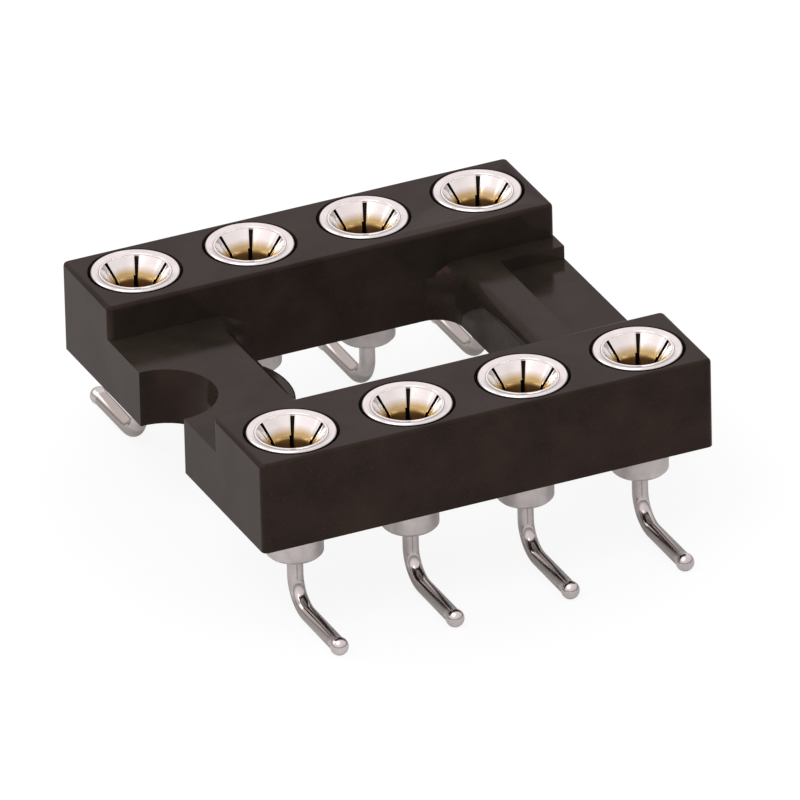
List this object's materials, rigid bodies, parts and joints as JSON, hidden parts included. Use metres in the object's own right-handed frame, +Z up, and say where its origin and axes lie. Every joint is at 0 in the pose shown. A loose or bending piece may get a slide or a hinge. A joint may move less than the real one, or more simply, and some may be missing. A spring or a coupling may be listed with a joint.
{
  "type": "ic socket",
  "caption": "Open-frame dual-in-line IC socket for surface mounting, with a notched moulded body, turned contact sleeves, sprung finger clips and outward-bent solder feet.",
  "frame": {"origin": "on the circuit board's surface, under the middle of the socket", "axes": "+Z up from the board, +X along the contact rows away from the notch, +Y across the rows"},
  "size_m": [0.01, 0.0122, 0.0041],
  "materials": {
    "insulator_plastic": "moulded glass-filled thermoplastic, faintly grainy satin black",
    "tin_plate": "turned brass with bright tin plating",
    "gold_plate": "stamped copper alloy with gold plating"
  },
  "bodies": {
    "root": {"insulator": "insulator_plastic", "contact_sleeve_1": "tin_plate", "contact_sleeve_2": "tin_plate", "contact_sleeve_3": "tin_plate", "contact_sleeve_4": "tin_plate", "contact_sleeve_5": "tin_plate", "contact_sleeve_6": "tin_plate", "contact_sleeve_7": "tin_plate", "contact_sleeve_8": "tin_plate", "contact_clip_1": "gold_plate", "contact_clip_2": "gold_plate", "contact_clip_3": "gold_plate", "contact_clip_4": "gold_plate", "contact_clip_5": "gold_plate", "contact_clip_6": "gold_plate", "contact_clip_7": "gold_plate", "contact_clip_8": "gold_plate"}
  },
  "joints": []
}
